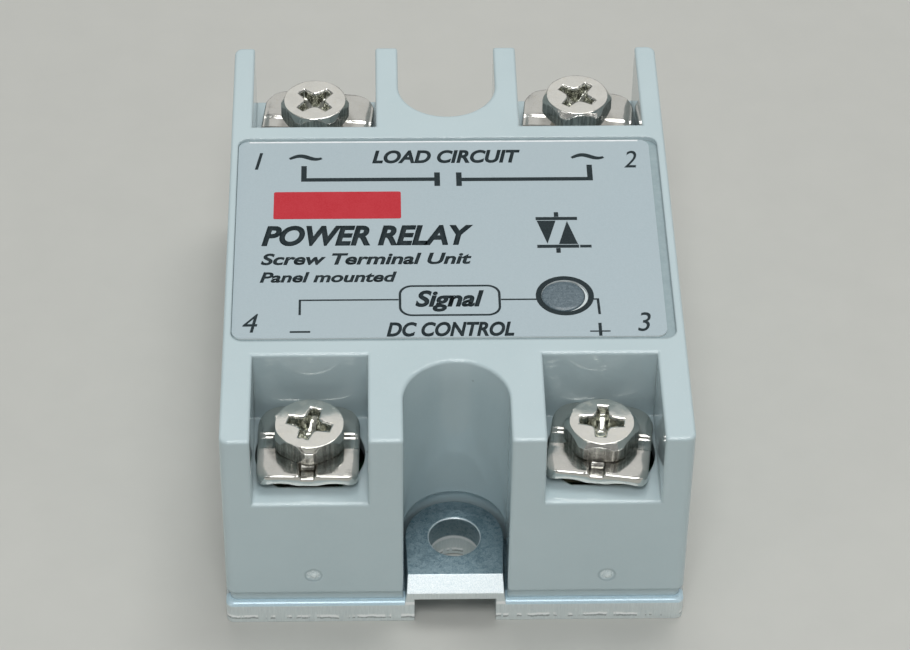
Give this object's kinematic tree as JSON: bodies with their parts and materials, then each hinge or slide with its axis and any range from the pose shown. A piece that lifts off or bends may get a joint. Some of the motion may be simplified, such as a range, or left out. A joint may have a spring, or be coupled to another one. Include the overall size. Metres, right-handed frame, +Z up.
{
  "type": "solid state relay",
  "caption": "Panel-mount solid state relay: plastic case on a steel base plate, screw terminals with square clamp washers in open corner wells, and a round indicator.",
  "frame": {"origin": "bottom centre of the steel base plate", "axes": "+Y towards the load terminals 1 and 2, +Z up through the label, +X right seen from the control end; the round bolt hole is at -Y"},
  "size_m": [0.0452, 0.0606, 0.0247],
  "materials": {
    "zinc_steel": "bright zinc plate, fine speckle",
    "housing_plastic": "glossy moulded",
    "label_film": "satin silver-grey film",
    "window_plastic": "translucent, slightly mottled",
    "board_laminate": "green solder mask",
    "component_black": "moulded epoxy",
    "ceramic_white": "fired ceramic",
    "capacitor_box": "moulded box",
    "resistor_body": "lacquered",
    "led_red": "diffused epoxy",
    "potting_grey": "cast resin",
    "terminal_brass": "nickel flashed",
    "nickel_washer": "bright nickel plate",
    "nickel_screw": "bright nickel plate"
  },
  "bodies": {
    "root": {"base_plate": "zinc_steel", "housing": "housing_plastic", "nameplate": "label_film", "indicator_window": "window_plastic", "circuit_board": "board_laminate", "optocoupler": "component_black", "power_triac": "component_black", "thermal_pad": "ceramic_white", "snubber_capacitor": "capacitor_box", "snubber_resistor": "resistor_body", "gate_resistors": "resistor_body", "input_resistor": "resistor_body", "input_transistor": "component_black", "protection_diode": "component_black", "indicator_led": "led_red", "potting_resin": "potting_grey", "terminal_plate_1": "terminal_brass", "terminal_plate_2": "terminal_brass", "terminal_plate_3": "terminal_brass", "terminal_plate_4": "terminal_brass"},
    "clamp_1": {"clamp_washer_1": "nickel_washer"},
    "screw_1": {"terminal_screw_1": "nickel_screw"},
    "clamp_2": {"clamp_washer_2": "nickel_washer"},
    "screw_2": {"terminal_screw_2": "nickel_screw"},
    "clamp_3": {"clamp_washer_3": "nickel_washer"},
    "screw_3": {"terminal_screw_3": "nickel_screw"},
    "clamp_4": {"clamp_washer_4": "nickel_washer"},
    "screw_4": {"terminal_screw_4": "nickel_screw"}
  },
  "joints": [
    {"name": "clamp_1_lift", "type": "slide", "parent": "root", "child": "clamp_1", "axis": [0, 0, 1], "range_m": [0, 0.0056]},
    {"name": "screw_1_turn", "type": "hinge", "parent": "clamp_1", "child": "screw_1", "pos_m": [-0.01395, 0.0239, 0.02014], "axis": [0, 0, 1], "range_deg": [0, 2880]},
    {"name": "clamp_2_lift", "type": "slide", "parent": "root", "child": "clamp_2", "axis": [0, 0, 1], "range_m": [0, 0.0049]},
    {"name": "screw_2_turn", "type": "hinge", "parent": "clamp_2", "child": "screw_2", "pos_m": [0.01395, 0.0239, 0.02069], "axis": [0, 0, 1], "range_deg": [0, 2520]},
    {"name": "clamp_3_lift", "type": "slide", "parent": "root", "child": "clamp_3", "axis": [0, 0, 1], "range_m": [0, 0.0063]},
    {"name": "screw_3_turn", "type": "hinge", "parent": "clamp_3", "child": "screw_3", "pos_m": [0.0141, -0.02315, 0.01814], "axis": [0, 0, 1], "range_deg": [0, 3240]},
    {"name": "clamp_4_lift", "type": "slide", "parent": "root", "child": "clamp_4", "axis": [0, 0, 1], "range_m": [0, 0.0063]},
    {"name": "screw_4_turn", "type": "hinge", "parent": "clamp_4", "child": "screw_4", "pos_m": [-0.0141, -0.02315, 0.01814], "axis": [0, 0, 1], "range_deg": [0, 3240]}
  ],
  "couplings": [
    {"joint": "screw_1_turn", "follows": "clamp_1_lift", "rad_per_m": 8976},
    {"joint": "screw_2_turn", "follows": "clamp_2_lift", "rad_per_m": 8976},
    {"joint": "screw_3_turn", "follows": "clamp_3_lift", "rad_per_m": 8976},
    {"joint": "screw_4_turn", "follows": "clamp_4_lift", "rad_per_m": 8976}
  ]
}
